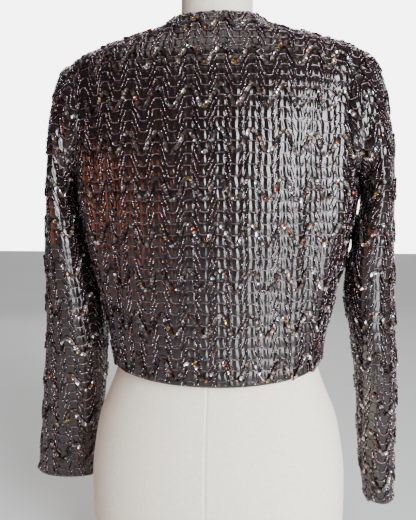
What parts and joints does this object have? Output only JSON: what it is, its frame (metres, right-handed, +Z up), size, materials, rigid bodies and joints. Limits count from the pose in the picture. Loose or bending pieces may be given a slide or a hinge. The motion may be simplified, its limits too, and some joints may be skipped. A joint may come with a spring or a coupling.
{
  "type": "beaded cropped jacket on a dress form",
  "caption": "Collarless cropped jacket in puckered satin with beaded zigzags and sequin waves, long sleeves hanging empty, shown on a limbless neck-and-hips dress form.",
  "frame": {"origin": "On the flat underside of the dress form's base, straight below the middle of the jacket's side plane and centre-back plane.", "axes": "+Z up along the body, -Y the way the garment's front faces, +Y out of its back, +X the wearer's left."},
  "size_m": [0.5231, 0.251, 0.8083],
  "materials": {
    "beaded_satin": "glossy puckered satin with beads and sequins",
    "form_linen": "plain cream cover",
    "form_wood": "satin"
  },
  "bodies": {
    "root": {"back": "beaded_satin", "front_left": "beaded_satin", "front_right": "beaded_satin", "sleeve_left": "beaded_satin", "sleeve_right": "beaded_satin", "form_torso": "form_linen", "neck_cap": "form_wood", "form_base": "form_wood"}
  },
  "joints": []
}
